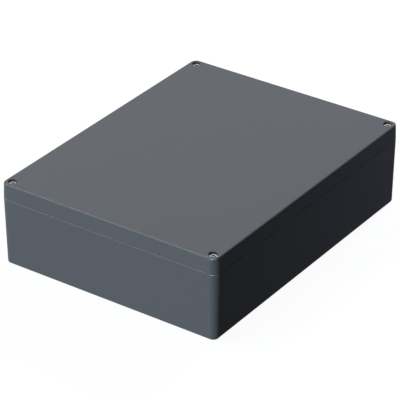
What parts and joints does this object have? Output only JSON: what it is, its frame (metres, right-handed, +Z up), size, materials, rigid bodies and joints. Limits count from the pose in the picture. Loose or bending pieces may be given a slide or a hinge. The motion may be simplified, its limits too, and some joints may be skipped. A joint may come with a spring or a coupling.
{
  "type": "die cast aluminium box",
  "caption": "Sealed rectangular electronics enclosure cast in aluminium, with a lift-off lid held by captive corner screws and wall-mounting holes outside the seal.",
  "frame": {"origin": "centre of the underside", "axes": "+X to the right along the short side, +Y to the back along the long side, +Z up from the underside to the lid"},
  "size_m": [0.31, 0.4, 0.11],
  "materials": {
    "powder_coat": "dark grey fine-texture powder coat on die cast aluminium",
    "seal_rubber": "black chloroprene, moulded",
    "stainless": "turned stainless steel",
    "nylon": "natural moulded nylon",
    "plated_steel": "bright zinc-plated steel"
  },
  "bodies": {
    "base": {"base": "powder_coat", "base_earth_screw": "plated_steel", "base_earth_spring_washer": "plated_steel", "base_earth_clamp": "plated_steel"},
    "lid": {"lid": "powder_coat", "lid_gasket": "seal_rubber", "lid_earth_screw": "plated_steel", "lid_earth_spring_washer": "plated_steel", "lid_earth_clamp": "plated_steel"},
    "retainer_front_left": {"screw_retainer_front_left": "nylon"},
    "screw_front_left": {"lid_screw_front_left": "stainless"},
    "retainer_front_right": {"screw_retainer_front_right": "nylon"},
    "screw_front_right": {"lid_screw_front_right": "stainless"},
    "retainer_back_left": {"screw_retainer_back_left": "nylon"},
    "screw_back_left": {"lid_screw_back_left": "stainless"},
    "retainer_back_right": {"screw_retainer_back_right": "nylon"},
    "screw_back_right": {"lid_screw_back_right": "stainless"}
  },
  "joints": [
    {"name": "lid_lift", "type": "slide", "parent": "base", "child": "lid", "axis": [0, 0, 1], "range_m": [0, 0.16]},
    {"name": "screw_rise_front_left", "type": "slide", "parent": "lid", "child": "retainer_front_left", "axis": [0, 0, 1], "range_m": [0, 0.009]},
    {"name": "screw_turn_front_left", "type": "hinge", "parent": "retainer_front_left", "child": "screw_front_left", "pos_m": [-0.1445, -0.1895, 0.089], "axis": [0, 0, 1], "range_deg": [0, 3240]},
    {"name": "screw_rise_front_right", "type": "slide", "parent": "lid", "child": "retainer_front_right", "axis": [0, 0, 1], "range_m": [0, 0.009]},
    {"name": "screw_turn_front_right", "type": "hinge", "parent": "retainer_front_right", "child": "screw_front_right", "pos_m": [0.1445, -0.1895, 0.089], "axis": [0, 0, 1], "range_deg": [0, 3240]},
    {"name": "screw_rise_back_left", "type": "slide", "parent": "lid", "child": "retainer_back_left", "axis": [0, 0, 1], "range_m": [0, 0.009]},
    {"name": "screw_turn_back_left", "type": "hinge", "parent": "retainer_back_left", "child": "screw_back_left", "pos_m": [-0.1445, 0.1895, 0.089], "axis": [0, 0, 1], "range_deg": [0, 3240]},
    {"name": "screw_rise_back_right", "type": "slide", "parent": "lid", "child": "retainer_back_right", "axis": [0, 0, 1], "range_m": [0, 0.009]},
    {"name": "screw_turn_back_right", "type": "hinge", "parent": "retainer_back_right", "child": "screw_back_right", "pos_m": [0.1445, 0.1895, 0.089], "axis": [0, 0, 1], "range_deg": [0, 3240]}
  ],
  "couplings": [
    {"joint": "screw_turn_front_left", "follows": "screw_rise_front_left", "rad_per_m": 6283.2},
    {"joint": "screw_turn_front_right", "follows": "screw_rise_front_right", "rad_per_m": 6283.2},
    {"joint": "screw_turn_back_left", "follows": "screw_rise_back_left", "rad_per_m": 6283.2},
    {"joint": "screw_turn_back_right", "follows": "screw_rise_back_right", "rad_per_m": 6283.2}
  ]
}
